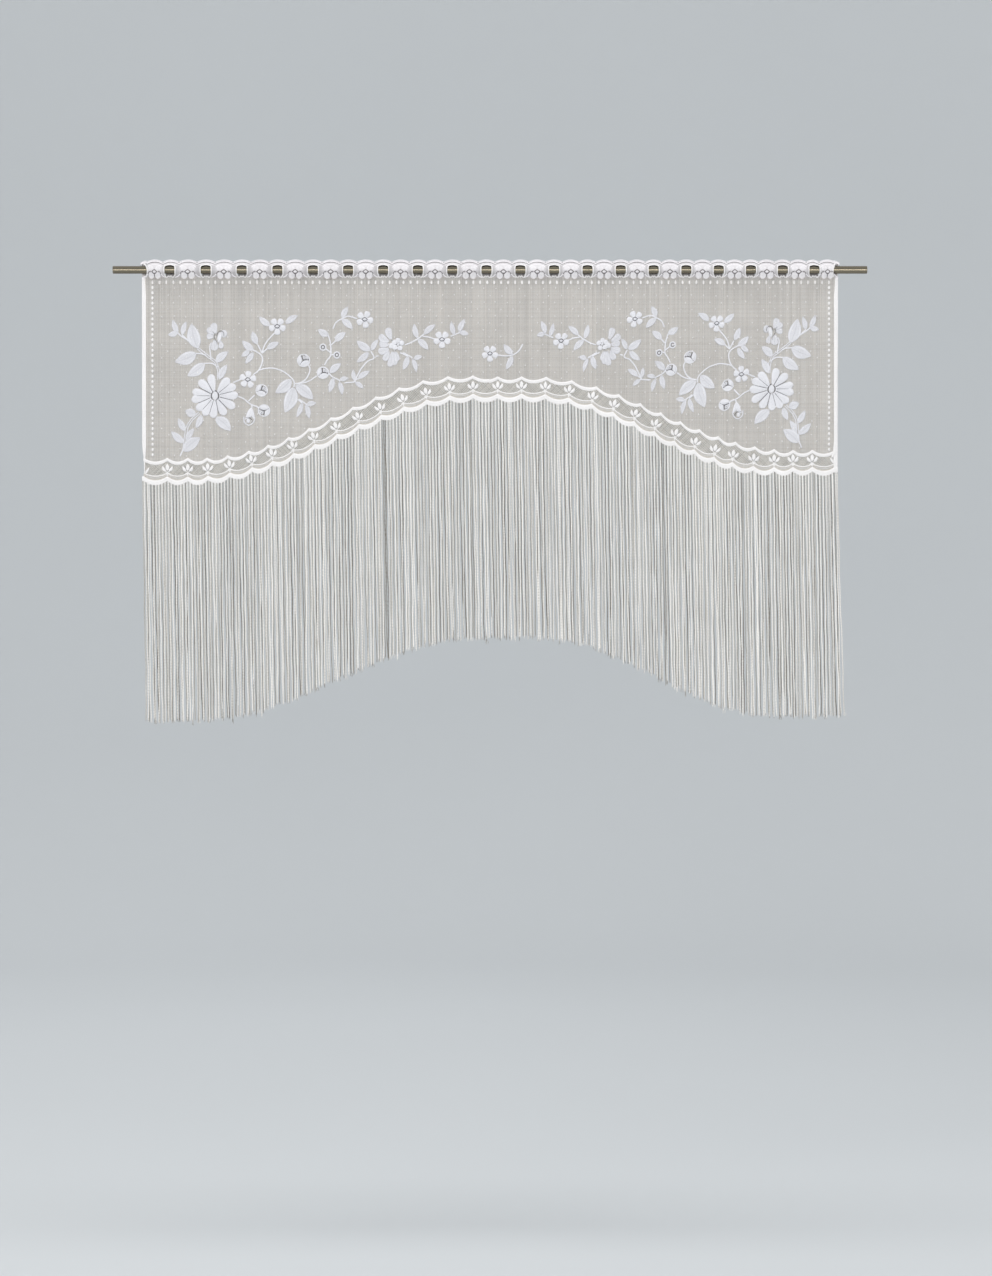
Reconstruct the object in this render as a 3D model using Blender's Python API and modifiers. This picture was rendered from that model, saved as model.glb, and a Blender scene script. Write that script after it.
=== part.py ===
# Lace cafe curtain hanging on its rod: the rod, the eyelet heading, the lace panel and the string fringe.
# The rod lies along X with its middle at the origin. The room is at -Y, the window at +Y, and +Z is up.

import math
import random

import bmesh
import bpy

MM = 0.001
COLLECTION_NAME = "cafe_curtain"

# The rod
ROD_DIAMETER = 10 * MM
ROD_LENGTH = 975 * MM
ROD_SIDES = 32
ROD_CHAMFER = 0.4 * MM

# The cloth as a whole
CURTAIN_WIDTH = 900 * MM
CLOTH_THICKNESS = 1.2 * MM
SIDE_HEM_WIDTH = 5.5 * MM
SEAM_GAP = 0.3 * MM

# The eyelet heading. The eyelets stand a little closer together towards the right.
HEADING_TOP = 11.4 * MM
HEADING_BOTTOM = -12.4 * MM
FRILL_NOTCH = 1.8 * MM
EYELET_COUNT = 20
EYELET_WIDTH = 14 * MM
FIRST_EYELET = -413.8 * MM
FIRST_PITCH = 46.8 * MM
PITCH_LOSS = 0.33 * MM
SLIT_WIDTH = 1.4 * MM

# The section of the heading over the rod: wide bands bow out before it, narrow bars behind it.
HEADING_SECTION = (
    {"level": 6.3 * MM, "bow": 0.0},
    {"level": 5.2 * MM, "bow": 3.3 * MM},
    {"level": 2.3 * MM, "bow": 6.1 * MM},
    {"level": -2.7 * MM, "bow": 6.1 * MM},
    {"level": -6.4 * MM, "bow": 3.2 * MM},
    {"level": -10.0 * MM, "bow": 0.0},
)

# The lower edge of the lace: an arch, level in the middle, that falls in one smooth slope to each side.
CROWN_LEVEL = -171.5 * MM
ARCH_SIDES = {
    "left": {"starts": 16 * MM, "ends": 386 * MM, "drop": 107 * MM, "longer": 0 * MM},
    "right": {"starts": 56 * MM, "ends": 366 * MM, "drop": 95 * MM, "longer": 6 * MM},
}

# The scallops, counted outwards from the cusp at the crown. The widest ones are near the crown.
CROWN_CUSP = 10 * MM
SCALLOPS_A_SIDE = 15
SCALLOP_WIDTH = {"left": 26.2 * MM, "right": 25.2 * MM}
CROWN_EXTRA = 5.6 * MM
CROWN_SPREAD = 6.0
SCALLOP_DEPTH = 5.5 * MM
FOOT_HEIGHT = 6.4 * MM

# The string fringe
STRINGS_PER_SCALLOP = 9
STRING_THICKNESS = 1.3 * MM
STRING_FALL = 303 * MM
STRING_LEAN = 5 * MM
CUT_UNEVENNESS = 2.5 * MM
STRING_BENDS = (0.45, 1.0)
STRING_SEED = 11

# The slow waves in which the cloth hangs, from flat at the heading to full at its lower edge
WAVES_ARE_FULL = 240 * MM
WAVES = (
    {"height": 3.2 * MM, "length": 236 * MM, "phase": 0.7},
    {"height": 1.6 * MM, "length": 121 * MM, "phase": 2.3},
)

# How the strings draw together sideways, and stand before one another, as they fall
LOCKS = (
    {"height": 0.6 * MM, "length": 13.7 * MM, "phase": 1.0},
    {"height": 0.5 * MM, "length": 29.0 * MM, "phase": 2.0},
)
SWAYS = (
    {"height": 1.1 * MM, "length": 17.0 * MM, "phase": 0.5},
    {"height": 1.5 * MM, "length": 61.0 * MM, "phase": 1.7},
)

# How finely the sheets are divided
PANEL_ROWS = 3
COLUMNS_PER_SCALLOP = 6
BAND_COLUMNS = 4

HALF_WIDTH = CURTAIN_WIDTH / 2


def ease(share):
    """A smooth step from 0 to 1, level at both ends."""
    share = min(1.0, max(0.0, share))
    return (1 - math.cos(math.pi * share)) / 2


def ripple(waves, x):
    """The sum of some sine waves at one place along the curtain."""
    return sum(wave["height"] * math.sin(math.tau * x / wave["length"] + wave["phase"]) for wave in waves)


def drape(x, z):
    """How far the cloth stands from the plane of the rod at one point."""
    return ease((HEADING_BOTTOM - z) / WAVES_ARE_FULL) * ripple(WAVES, x)


def arch(x):
    """The level of the lowest points of the scallops, and how much longer the strings are there."""
    side = ARCH_SIDES["left" if x < 0 else "right"]
    share = ease((abs(x) - side["starts"]) / (side["ends"] - side["starts"]))
    return CROWN_LEVEL - side["drop"] * share, side["longer"] * share


def scallop_cusps():
    """The places of the cusps between scallops, from the left edge of the curtain to the right one."""
    cusps = [-HALF_WIDTH, CROWN_CUSP, HALF_WIDTH]
    for side, way in (("left", -1), ("right", 1)):
        x = CROWN_CUSP
        for number in range(SCALLOPS_A_SIDE):
            x += way * (SCALLOP_WIDTH[side] + CROWN_EXTRA * math.exp(-((number / CROWN_SPREAD) ** 2)))
            cusps.append(x)
    return sorted(cusps)


def scallop_at(x, cusps):
    """The two cusps of the scallop that holds a place."""
    return next(pair for pair in zip(cusps, cusps[1:]) if x <= pair[1])


def foot_edge(x, cusps):
    """The scalloped lower edge of the lace."""
    start, end = scallop_at(x, cusps)
    share = (x - start) / (end - start)
    return arch(x)[0] + SCALLOP_DEPTH * (1 - 4 * share * (1 - share))


def new_object(name, bm, colour, roughness, metallic=0.0):
    """A named object from a finished bmesh, with a finish of its own."""
    mesh = bpy.data.meshes.new(name)
    bm.to_mesh(mesh)
    bm.free()
    material = bpy.data.materials.new(name)
    material.use_nodes = True
    shader = material.node_tree.nodes["Principled BSDF"]
    shader.inputs["Base Color"].default_value = (*colour, 1.0)
    shader.inputs["Roughness"].default_value = roughness
    shader.inputs["Metallic"].default_value = metallic
    mesh.materials.append(material)
    obj = bpy.data.objects.new(name, mesh)
    bpy.data.collections[COLLECTION_NAME].objects.link(obj)
    return obj


def make_sheet(columns, row_count, place):
    """A grid of quads, bent to shape: place(column, row) gives the point of each of its vertices, row 0 on top."""
    bm = bmesh.new()
    bmesh.ops.create_grid(bm, x_segments=len(columns) - 1, y_segments=row_count, size=1)
    for number, vertex in enumerate(bm.verts):
        row, column = divmod(number, len(columns))
        vertex.co = place(columns[column], row_count - row)
    return bm


def thicken(obj, thickness):
    """Gives a sheet its thickness, half to each side."""
    solidify = obj.modifiers.new("thickness", "SOLIDIFY")
    solidify.thickness = thickness
    solidify.offset = 0
    solidify.use_even_offset = True


def make_rod():
    """The plain metal rod, its edges lightly broken."""
    bm = bmesh.new()
    radius = ROD_DIAMETER / 2
    bmesh.ops.create_cone(
        bm, cap_ends=True, segments=ROD_SIDES, radius1=radius, radius2=radius, depth=ROD_LENGTH
    )
    rims = [edge for edge in bm.edges if edge.verts[0].co.z == edge.verts[1].co.z]
    bmesh.ops.bevel(bm, geom=rims, offset=ROD_CHAMFER, segments=1, affect="EDGES")
    rod = new_object("rod", bm, (0.35, 0.33, 0.27), 0.3, 1.0)
    rod.rotation_euler = (0, math.pi / 2, 0)
    rod.data.shade_smooth()
    rod.data.set_sharp_from_angle(angle=math.radians(30))


def heading_bars():
    """The start and end of each bar behind the rod: the two side hems, and one across each eyelet."""
    bars = [(-HALF_WIDTH, SIDE_HEM_WIDTH - HALF_WIDTH)]
    half_bar = EYELET_WIDTH / 2 - SLIT_WIDTH
    for number in range(EYELET_COUNT):
        centre = FIRST_EYELET + FIRST_PITCH * number - PITCH_LOSS * number * (number - 1) / 2
        bars.append((centre - half_bar, centre + half_bar))
    return [*bars, (HALF_WIDTH - SIDE_HEM_WIDTH, HALF_WIDTH)]


def heading_columns():
    """Every column of the heading, with its side of the rod and how far the frill is cut down there."""
    columns = []
    bars = heading_bars()
    for start, end in bars:
        columns += [{"x": start, "side": 1, "notch": 0.2}, {"x": end, "side": 1, "notch": 0.2}]
    for (_, before), (after, _) in zip(bars, bars[1:]):
        start, end = before + SLIT_WIDTH, after - SLIT_WIDTH
        # From the slit the frill falls to a cusp, and rises to a scallop over the middle of the band.
        cusp = (end - start) / 2 - (end - start + EYELET_WIDTH) / 4
        columns += [{"x": start, "side": -1, "notch": 0.4}, {"x": end, "side": -1, "notch": 0.4}]
        for number in range(BAND_COLUMNS + 1):
            share = number / BAND_COLUMNS
            x = start + cusp + share * (end - start - 2 * cusp)
            columns.append({"x": x, "side": -1, "notch": (2 * share - 1) ** 2})
    return sorted(columns, key=lambda column: column["x"])


def make_heading():
    """The eyelet strip: one sheet whose bands pass before the rod and whose bars pass behind it."""

    def place(column, row):
        if row == 0:
            return column["x"], 0, HEADING_TOP - column["notch"] * FRILL_NOTCH
        if row > len(HEADING_SECTION):
            return column["x"], 0, HEADING_BOTTOM
        section = HEADING_SECTION[row - 1]
        return column["x"], column["side"] * section["bow"], section["level"]

    bm = make_sheet(heading_columns(), len(HEADING_SECTION) + 1, place)
    bmesh.ops.delete(bm, geom=[face for face in bm.faces if is_slit(face)], context="FACES")
    heading = new_object("heading", bm, (0.86, 0.86, 0.88), 0.8)
    thicken(heading, CLOTH_THICKNESS)


def is_slit(face):
    """Whether a face of the heading lies between a bar and a band where they part round the rod."""
    top = max(vertex.co.z for vertex in face.verts)
    behind = max(vertex.co.y for vertex in face.verts) > 0
    before = min(vertex.co.y for vertex in face.verts) < 0
    return behind and before and top < HEADING_SECTION[0]["level"] + SEAM_GAP


def panel_columns(cusps):
    """The columns of the lace panel: an equal number in each scallop, and one along each side hem."""
    columns = [cusps[0], cusps[0] + SIDE_HEM_WIDTH, cusps[-1] - SIDE_HEM_WIDTH]
    for start, end in zip(cusps, cusps[1:]):
        step = (end - start) / COLUMNS_PER_SCALLOP
        inner = [start + step * number for number in range(1, COLUMNS_PER_SCALLOP + 1)]
        columns += [x for x in inner if abs(HALF_WIDTH - SIDE_HEM_WIDTH - abs(x)) > step / 2]
    return sorted(columns)


def make_panel(cusps):
    """The lace itself, with its knitted border and its two side hems, down to the foot of the fringe."""
    top = HEADING_BOTTOM - SEAM_GAP

    def place(x, row):
        bottom = foot_edge(x, cusps) + FOOT_HEIGHT + SEAM_GAP
        z = top + (bottom - top) * row / PANEL_ROWS
        return x, drape(x, z), z

    bm = make_sheet(panel_columns(cusps), PANEL_ROWS, place)
    panel = new_object("lace_panel", bm, (0.62, 0.61, 0.58), 0.85)
    thicken(panel, CLOTH_THICKNESS)


def string_centres(cusps):
    """The places of the strings along the foot, evenly set in each scallop. The two end scallops are wider."""
    centres = []
    for start, end in zip(cusps, cusps[1:]):
        count = round(STRINGS_PER_SCALLOP * max(1, (end - start) / (SCALLOP_WIDTH["left"] + CROWN_EXTRA / 2)))
        pitch = (end - start) / count
        centres += [start + (number + 0.5) * pitch for number in range(count)]
    return centres


def make_fringe(cusps):
    """The scalloped foot of the fringe, with its strings drawn down out of the foot's lower side."""
    centres = string_centres(cusps)
    half = STRING_THICKNESS / 2
    columns = [cusps[0], *(x + way * half for x in centres for way in (-1, 1)), cusps[-1]]

    def place(x, row):
        z = foot_edge(x, cusps) + (FOOT_HEIGHT if row == 0 else 0)
        return x, drape(x, z) - half, z

    bm = make_sheet(columns, 1, place)
    backs = bmesh.ops.extrude_face_region(bm, geom=bm.faces[:])["geom"]
    back_points = [item for item in backs if isinstance(item, bmesh.types.BMVert)]
    bmesh.ops.translate(bm, verts=back_points, vec=(0, STRING_THICKNESS, 0))
    bmesh.ops.recalc_face_normals(bm, faces=bm.faces[:])

    undersides = [face for face in bm.faces if face.normal.z < -abs(face.normal.y) and abs(face.normal.x) < 0.95]
    undersides.sort(key=lambda face: face.calc_center_median().x)
    generator = random.Random(STRING_SEED)
    for root in undersides[1::2]:
        draw_string(bm, root, CUT_UNEVENNESS * generator.uniform(-1, 1))
    new_object("fringe", bm, (0.72, 0.71, 0.68), 0.8)


def draw_string(bm, root, unevenness):
    """Extrudes one root face down to the cut end of its string, with a bend on the way."""
    start = root.calc_center_median()
    lowest, longer = arch(start.x)
    fall = start.z - lowest + STRING_FALL + longer + unevenness
    aside = STRING_LEAN + ripple(LOCKS, start.x)
    away = ripple(SWAYS, start.x)
    face = root
    for share in STRING_BENDS:
        face = bmesh.ops.extrude_discrete_faces(bm, faces=[face])["faces"][0]
        middle = face.calc_center_median()
        for vertex in face.verts:
            vertex.co.x += start.x + share * aside - middle.x
            vertex.co.y += start.y + share * away - middle.y
            vertex.co.z = start.z - share * fall


def main():
    for obj in list(bpy.data.objects):
        bpy.data.objects.remove(obj)
    curtain = bpy.data.collections.new(COLLECTION_NAME)
    bpy.context.scene.collection.children.link(curtain)
    cusps = scallop_cusps()
    make_rod()
    make_heading()
    make_panel(cusps)
    make_fringe(cusps)


main()
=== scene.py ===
import math

import bmesh
import bpy
import mathutils
import numpy as np
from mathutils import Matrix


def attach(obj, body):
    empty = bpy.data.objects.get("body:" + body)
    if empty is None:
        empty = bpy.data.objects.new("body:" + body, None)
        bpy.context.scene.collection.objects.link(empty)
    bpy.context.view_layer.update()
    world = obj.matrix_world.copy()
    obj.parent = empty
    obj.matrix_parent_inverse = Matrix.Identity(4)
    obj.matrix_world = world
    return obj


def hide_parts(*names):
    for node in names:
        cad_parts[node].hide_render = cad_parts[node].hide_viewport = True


# Lace cafe curtain on its rod. Lengths are millimetres until makePiece turns them into metres.
# It hangs along X, the room is at -Y, and Z is up, with the axis of the rod at zero.

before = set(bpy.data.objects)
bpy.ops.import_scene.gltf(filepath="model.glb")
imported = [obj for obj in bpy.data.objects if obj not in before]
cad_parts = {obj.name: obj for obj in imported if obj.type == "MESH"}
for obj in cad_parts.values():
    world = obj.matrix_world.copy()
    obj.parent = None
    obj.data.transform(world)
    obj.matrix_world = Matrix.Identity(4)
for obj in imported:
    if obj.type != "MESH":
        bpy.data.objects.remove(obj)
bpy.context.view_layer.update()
chance = np.random.default_rng(7)

curtain = {
    "edge": 450,
    "hemWidth": 5.2,
    "headingTop": 11.4,
    "headingBottom": -12.4,
    "netLowest": -250,
    "wavesAreFull": 240,
    "waves": ((3.2, 236, 0.7), (1.6, 121, 2.3)),  # height, length and phase of each
    # how far the heading stands off the rod's axis, level by level
    "roundRod": ((-10.5, 0), (-9, 0.7), (-7.5, 2), (-5.5, 4), (-3.5, 5.6), (-1.5, 6.15), (1.5, 6.1),
                 (3.2, 5.6), (4.6, 4.3), (5.6, 2.4), (6.6, 0.7), (8, 0)),
    "sharpFrom": math.radians(62),
}

lowerEdge = {
    "left": {"crown": -171.5, "starts": 16, "ends": 386, "drop": 107, "longer": 0},
    "right": {"crown": -171.5, "starts": 56, "ends": 366, "drop": 95, "longer": 6},
    "depth": 5.5,
    "footHeight": 6.4,
    # the points between the scallops, from the left to the right
    "cusps": (-448.0, -417.3, -391.0, -364.6, -335.9, -307.2, -281.0, -254.0, -226.9, -197.9, -169.5,
              -140.8, -111.6, -82.0, -51.8, -21.8, 10.0, 40.8, 71.4, 101.8, 131.6, 159.0, 186.4, 212.9,
              238.9, 264.4, 289.8, 313.6, 340.5, 367.3, 391.4, 416.3, 446.0),
}
cusps = np.array(lowerEdge["cusps"])

upperBand = {
    "left": {"crown": -136.3, "starts": 32, "ends": 376, "drop": 106.4},
    "right": {"crown": -137.4, "starts": 56, "ends": 392, "drop": 95.4},
    "sag": 5.0,
    "width": 4.5,
    "above": 17.5,  # the pattern stands square to the arch, so up here it moves sideways on the slopes
}


def ease(share):
    return (1 - np.cos(np.pi * np.clip(share, 0, 1))) / 2


def ripple(waves, x):
    return sum(height * np.sin(math.tau * x / length + phase) for height, length, phase in waves)


def roundRod(z):
    levels, bows = zip(*curtain["roundRod"])
    return np.interp(z, levels, bows, left=0, right=0)


def drape(x, z):
    return ease((curtain["headingBottom"] - z) / curtain["wavesAreFull"]) * ripple(curtain["waves"], x)


def downArch(side, x):
    return ease((abs(x) - side["starts"]) / (side["ends"] - side["starts"]))


def archAt(x, edge=lowerEdge):
    levels = [side["crown"] - side["drop"] * downArch(side, x) for side in (edge["left"], edge["right"])]
    return np.where(x < 0, *levels)


def slopeAt(x):
    return (archAt(x + 1.0) - archAt(x - 1.0)) / 2


def dip(x):
    # nothing at the points between the scallops, and one in the middle of each
    number = np.clip(np.searchsorted(cusps, x, side="right") - 1, 0, len(cusps) - 2)
    share = np.clip((x - cusps[number]) / (cusps[number + 1] - cusps[number]), 0, 1)
    return 4 * share * (1 - share)


def footEdge(x):
    return archAt(x) + lowerEdge["depth"] * (1 - dip(x))


def footTop(x):
    return footEdge(x) + lowerEdge["footHeight"]


def bandTop(x):
    return archAt(x, upperBand) - upperBand["sag"] * dip(x + upperBand["above"] * slopeAt(x))


def bandBottom(x):
    return bandTop(x) - upperBand["width"]


def pairs(x, z):
    return np.stack(np.broadcast_arrays(x, z), -1)


def towards(degrees):
    return np.array([math.cos(math.radians(degrees)), math.sin(math.radians(degrees))])


def diamond(wide, x, z, high):
    return np.array([(wide, 0), (x, z), (0, high), (-x, z), (-wide, 0), (-x, -z), (0, -high), (x, -z)])


def turnedAt(centre, angle, size=1.0):
    # finds places in a small drawing that is turned and enlarged about its centre
    spin = np.array([[math.cos(angle), -math.sin(angle)], [math.sin(angle), math.cos(angle)]]) * size
    return lambda u, v: np.array(centre) + spin @ np.array([u, v])


# every part of the lace is laid out flat, in X and Z, and takes the hang of the cloth in makePiece

def newLace():
    return {"points": [], "faces": [], "tones": [], "count": 0}


def addPart(lace, points, faces, tones):
    points = points.reshape(-1, 3)
    lace["points"].append(points)
    lace["tones"].append(tones)
    for group in faces:
        lace["faces"] += (group + lace["count"]).tolist()
    lace["count"] += len(points)


# the corners of a thread: how far each lies across it and through it
sections = {
    3: ((1, 0.5), (0, -0.5), (-1, 0.5)),
    4: ((1, 0), (0, -0.5), (-1, 0), (0, 0.5)),
    6: ((1, 0), (0.6, -0.45), (-0.6, -0.45), (-1, 0), (-0.6, 0.45), (0.6, 0.45)),
}


def addTube(lace, spine, across, through, corners, tone, closed=False):
    count, sides = len(spine), len(corners)
    rings = [spine + across * side + through * front for side, front in corners]
    index = np.arange(count * sides).reshape(count, sides)
    after = np.roll(index, -1, 0) if closed else index[1:]
    here = index if closed else index[:-1]
    quads = np.stack([here, np.roll(here, -1, 1), np.roll(after, -1, 1), after], -1).reshape(-1, 4)
    ends = [] if closed else [index[:1, ::-1], index[-1:]]
    addPart(lace, np.stack(rings, 1), [quads, *ends], np.repeat(np.broadcast_to(tone, count), sides))


def addThread(lace, path, width, depth, tone=1.0, sides=4, lift=0.0, closed=False):
    # path is flat, width runs in the cloth and depth through it, and lift is towards the room
    path = np.asarray(path, float)
    if closed:
        along = np.roll(path, -1, 0) - np.roll(path, 1, 0)
    else:
        along = np.vstack([path[1:], path[-1:]]) - np.vstack([path[:1], path[:-1]])
    along /= np.linalg.norm(along, axis=1)[:, None]
    flat = np.zeros(len(path))
    across = np.stack([-along[:, 1], flat, along[:, 0]], 1) * np.reshape(width, (-1, 1)) / 2
    spine = np.stack([path[:, 0], flat - lift, path[:, 1]], 1)
    addTube(lace, spine, across, np.array([0, depth, 0]), sections[sides], tone, closed)


def addPlate(lace, x, z, front, back, tone):
    # a thin closed plate from a grid of places; front and back are how far it stands out
    x, z, front, back, tone = np.broadcast_arrays(x, z, front, back, tone)
    rows, columns = x.shape
    sides = np.stack([np.stack([x, place, z], -1) for place in (-front, back)])
    index = np.arange(rows * columns).reshape(rows, columns)
    quads = np.stack([index[:-1, :-1], index[:-1, 1:], index[1:, 1:], index[1:, :-1]], -1).reshape(-1, 4)
    rim = np.concatenate([index[0], index[1:, -1], index[-1, -2::-1], index[-2:0:-1, 0]])
    other = rim + rows * columns
    walls = np.stack([rim, other, np.roll(other, -1), np.roll(rim, -1)], -1)
    addPart(lace, sides, [quads, quads[:, ::-1] + rows * columns, walls], np.tile(tone.reshape(-1), 2))


outlines = {
    "leaf": lambda t: np.sin(np.pi * t ** 0.85) ** 0.8,
    "oval": lambda t: np.sqrt(np.maximum(1 - (2 * t - 1) ** 2, 0)),
    "petal": lambda t: np.where(t < 0.76, 0.28 + 0.72 * np.sin(np.pi / 2 * np.minimum(t / 0.76, 1)),
                                np.sqrt(np.maximum(1 - ((t - 0.76) / 0.24) ** 2, 0))),
}


def bothWays(*half):
    return half + tuple((-place, *rest) for place, *rest in half[-2::-1])


# across a blade: place, how far it stands out, and how white it is
ribbed = bothWays((-1, 0.1, 1.0), (-0.84, 0.5, 1.0), (-0.6, 0.4, 0.83), (-0.16, 0.42, 0.86), (0, 0.34, 0.72))
softly = bothWays((-1, 0.1, 0.7), (-0.75, 0.45, 0.86), (0, 0.5, 0.78))
smooth = bothWays((-1, 0.1, 0.92), (-0.75, 0.5, 1.0), (0, 0.55, 0.93))
blade = {"narrowest": 0.05, "back": 0.42, "edging": (0.8, 0.7), "edgingLift": 0.25}


def addBlade(lace, base, tip, halfWidth, outline="leaf", across=smooth, bend=0.0, rows=9, lift=0.25):
    base, tip = np.array(base, float), np.array(tip, float)
    t = (1 - np.cos(np.linspace(0, np.pi, rows))) / 2
    along = tip - base
    side = np.array([-along[1], along[0]]) / np.linalg.norm(along)
    spine = base + along * t[:, None] + side * (bend * np.linalg.norm(along) * np.sin(np.pi * t))[:, None]
    half = halfWidth * np.maximum(outlines[outline](t), blade["narrowest"])
    places, fronts, tones = (np.array(column) for column in zip(*across))
    x = spine[:, :1] + side[0] * half[:, None] * places
    z = spine[:, 1:] + side[1] * half[:, None] * places
    addPlate(lace, x, z, lift + fronts, blade["back"], tones)
    if across is ribbed:
        edging = np.concatenate([pairs(x[:, 0], z[:, 0]), pairs(x[-2:0:-1, -1], z[-2:0:-1, -1])])
        addThread(lace, edging, *blade["edging"], 1.0, 3, lift + blade["edgingLift"], True)


def addBlades(lace, blades, outline="leaf", across=ribbed, bend=0.04, rows=9, lift=0.25):
    # each is the place of its base, the way to its tip, and half its width
    for x, z, right, up, half in blades:
        addBlade(lace, (x, z), (x + right, z + up), half, outline, across, bend, rows, lift)


def addOval(lace, centre, halfX, halfZ, across=smooth, rows=6, lift=0.25):
    x, z = centre
    addBlade(lace, (x, z - halfZ), (x, z + halfZ), halfX, "oval", across, rows=rows, lift=lift)


def curve(points, steps=5):
    # a smooth line through a few places
    points = np.array(points, float)
    ends = np.vstack([2 * points[0] - points[1], points, 2 * points[-1] - points[-2]])
    line = []
    for p0, p1, p2, p3 in zip(ends, ends[1:], ends[2:], ends[3:]):
        for t in np.linspace(0, 1, steps, endpoint=False):
            line.append(0.5 * (2 * p1 + (p2 - p0) * t + (2 * p0 - 5 * p1 + 4 * p2 - p3) * t * t
                               + (3 * p1 - p0 - 3 * p2 + p3) * t ** 3))
    return np.array(line + [points[-1]])


def walk(moves, steps=5):
    # the same from a first place and the move to each next one
    return curve(np.cumsum(np.reshape(moves, (-1, 2)), axis=0), steps)


def ellipse(centre, halfX, halfZ, steps):
    angles = np.arange(steps) / steps * math.tau
    return pairs(centre[0] + halfX * np.cos(angles), centre[1] + halfZ * np.sin(angles))


def addStem(lace, moves, width=1.75):
    addThread(lace, walk(moves), width, 0.8, lift=0.45)


def addPaintedShadeLine(lace, path, width=0.9, closed=False, lift=0.62):
    # a line of painted shade: a thread in the thin, dark colour, lifted towards the room, that stands for
    # the shade seen through openwork gaps between the dense stitches
    addThread(lace, path, width, 0.4, 0.0, 3, lift, closed)


def runs(places, inside):
    # the unbroken stretches of a line that lie where a thread belongs
    marks = np.flatnonzero(np.diff(np.concatenate([[0], inside.astype(int), [0]])))
    return [places[first:last] for first, last in zip(marks[::2], marks[1::2]) if last - first > 1]


def paint(red, green, blue):
    # a colour as a screen shows it, as Blender wants it
    return tuple((c / 12.92 if c <= 0.04045 else ((c + 0.055) / 1.055) ** 2.4)
                 for c in (red / 255, green / 255, blue / 255)) + (1.0,)


def newGroup(name, inputs, outputs):
    group = bpy.data.node_groups.new(name, "ShaderNodeTree")
    for label, value in inputs.items():
        kind = "NodeSocketColor" if isinstance(value, tuple) else "NodeSocketFloat"
        socket = group.interface.new_socket(label, in_out="INPUT", socket_type=kind)
        socket.default_value = value
    for label in outputs:
        kind = "NodeSocketColor" if label == "Color" else "NodeSocketFloat"
        group.interface.new_socket(label, in_out="OUTPUT", socket_type=kind)
    return group, group.nodes.new("NodeGroupInput"), group.nodes.new("NodeGroupOutput")


def newMaterial(name):
    material = bpy.data.materials.new(name)
    material.use_nodes = True
    return material, material.node_tree, material.node_tree.nodes["Principled BSDF"]


def setSockets(tree, node, values):
    for socket, value in values.items():
        if isinstance(value, bpy.types.NodeSocket):
            tree.links.new(value, node.inputs[socket])
        else:
            node.inputs[socket].default_value = value


def addNode(tree, kind, values=None, **settings):
    node = tree.nodes.new(kind)
    for key, value in settings.items():
        setattr(node, key, value)
    setSockets(tree, node, values or {})
    return node


def objectPlace(tree):
    return addNode(tree, "ShaderNodeTexCoord").outputs["Object"]


def calculate(tree, operation, *values, **settings):
    node = addNode(tree, "ShaderNodeMath", dict(enumerate(values)), operation=operation, **settings)
    return node.outputs[0]


def addNoise(tree, place, scale, detail):
    noise = addNode(tree, "ShaderNodeTexNoise", {"Vector": place, "Scale": scale, "Detail": detail})
    return noise.outputs["Fac"]


def mixColours(tree, share, first, second):
    mix = addNode(tree, "ShaderNodeMix", {"Factor": share, 6: first, 7: second}, data_type="RGBA")
    return mix.outputs[2]


def addBump(tree, height, strength, depth):
    bump = addNode(tree, "ShaderNodeBump", {"Height": height, "Strength": strength, "Distance": depth})
    return bump.outputs["Normal"]


yarn = {
    "specular": 0.25, "sheen": 0.15, "sheenRough": 0.5, "rough": 0.91, "denseRougher": -0.12, "bump": 0.6,
    # scale and detail of each noise
    "loopNoise": (420.0, 3.0), "fibreNoise": (2600.0, 2.0), "slowNoise": (28.0, 4.0),
    "fineNoise": (700.0, 2.0), "loopShift": 5.0, "toneNoise": 0.22,
}


def makeKnitGroup():
    # small loops in rows and columns, as a warp knitting machine lays them
    group, given, result = newGroup("knitLoops", {"Pitch": 1.2, "Unevenness": 0.3}, ("Height", "Shade"))
    place = objectPlace(group)
    parts = addNode(group, "ShaderNodeSeparateXYZ", {0: place})
    turns = calculate(group, "DIVIDE", math.tau * 1000, given.outputs["Pitch"])
    shift = calculate(group, "MULTIPLY", addNoise(group, place, *yarn["loopNoise"]), yarn["loopShift"])
    loops = []
    for part, stretch in (("X", 1.0), ("Z", 0.8)):
        phase = calculate(group, "MULTIPLY", parts.outputs[part], turns)
        scaled = calculate(group, "MULTIPLY", phase, stretch)
        wave = calculate(group, "SINE", calculate(group, "ADD", scaled, shift))
        loops.append(calculate(group, "MULTIPLY_ADD", wave, 0.5, 0.5))
    both = calculate(group, "MULTIPLY", *loops)
    fibres = addNoise(group, place, *yarn["fibreNoise"])
    uneven = calculate(group, "MULTIPLY", fibres, given.outputs["Unevenness"])
    setSockets(group, result, {"Height": calculate(group, "ADD", both, uneven), "Shade": both})
    return group


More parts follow.
